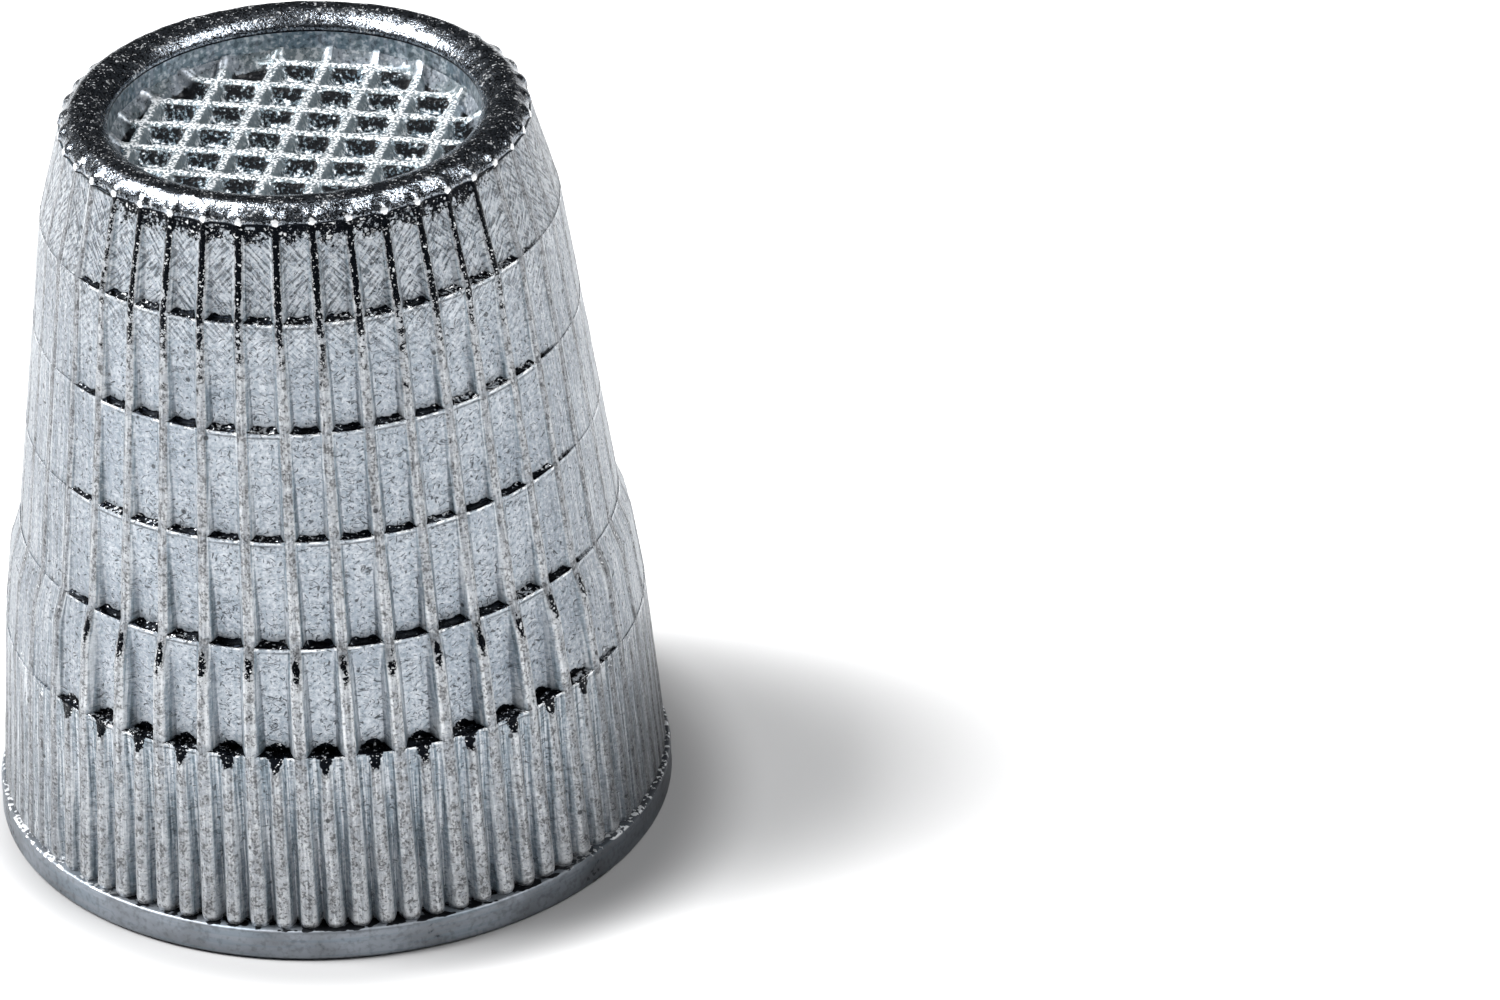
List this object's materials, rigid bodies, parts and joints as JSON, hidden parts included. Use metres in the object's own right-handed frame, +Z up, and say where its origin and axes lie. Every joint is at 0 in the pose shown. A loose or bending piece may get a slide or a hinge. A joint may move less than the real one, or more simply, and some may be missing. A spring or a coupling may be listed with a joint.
{
  "type": "thimble",
  "caption": "Cast metal thimble: ribbed, stepped conical wall, plain base band, rounded rim and a recessed waffle top that pushes a needle.",
  "frame": {"origin": "centre of the mouth, on the flat face that the thimble stands on", "axes": "+Z up the thimble's axis from the mouth to the closed crown, -Y towards the front"},
  "size_m": [0.02, 0.02, 0.0228],
  "materials": {
    "band_zinc": "smooth satin cast zinc",
    "wall_zinc": "pale blue-grey satin cast zinc, finely speckled",
    "rim_zinc": "bright, burnished cast zinc with a coarse grain",
    "waffle_zinc": "bright, grainy cast zinc on the ridges, dull in the pockets"
  },
  "bodies": {
    "root": {"base_band": "band_zinc", "ribbed_skirt": "wall_zinc", "stepped_wall": "wall_zinc", "crown_rim": "rim_zinc", "crown_plate": "waffle_zinc"}
  },
  "joints": []
}
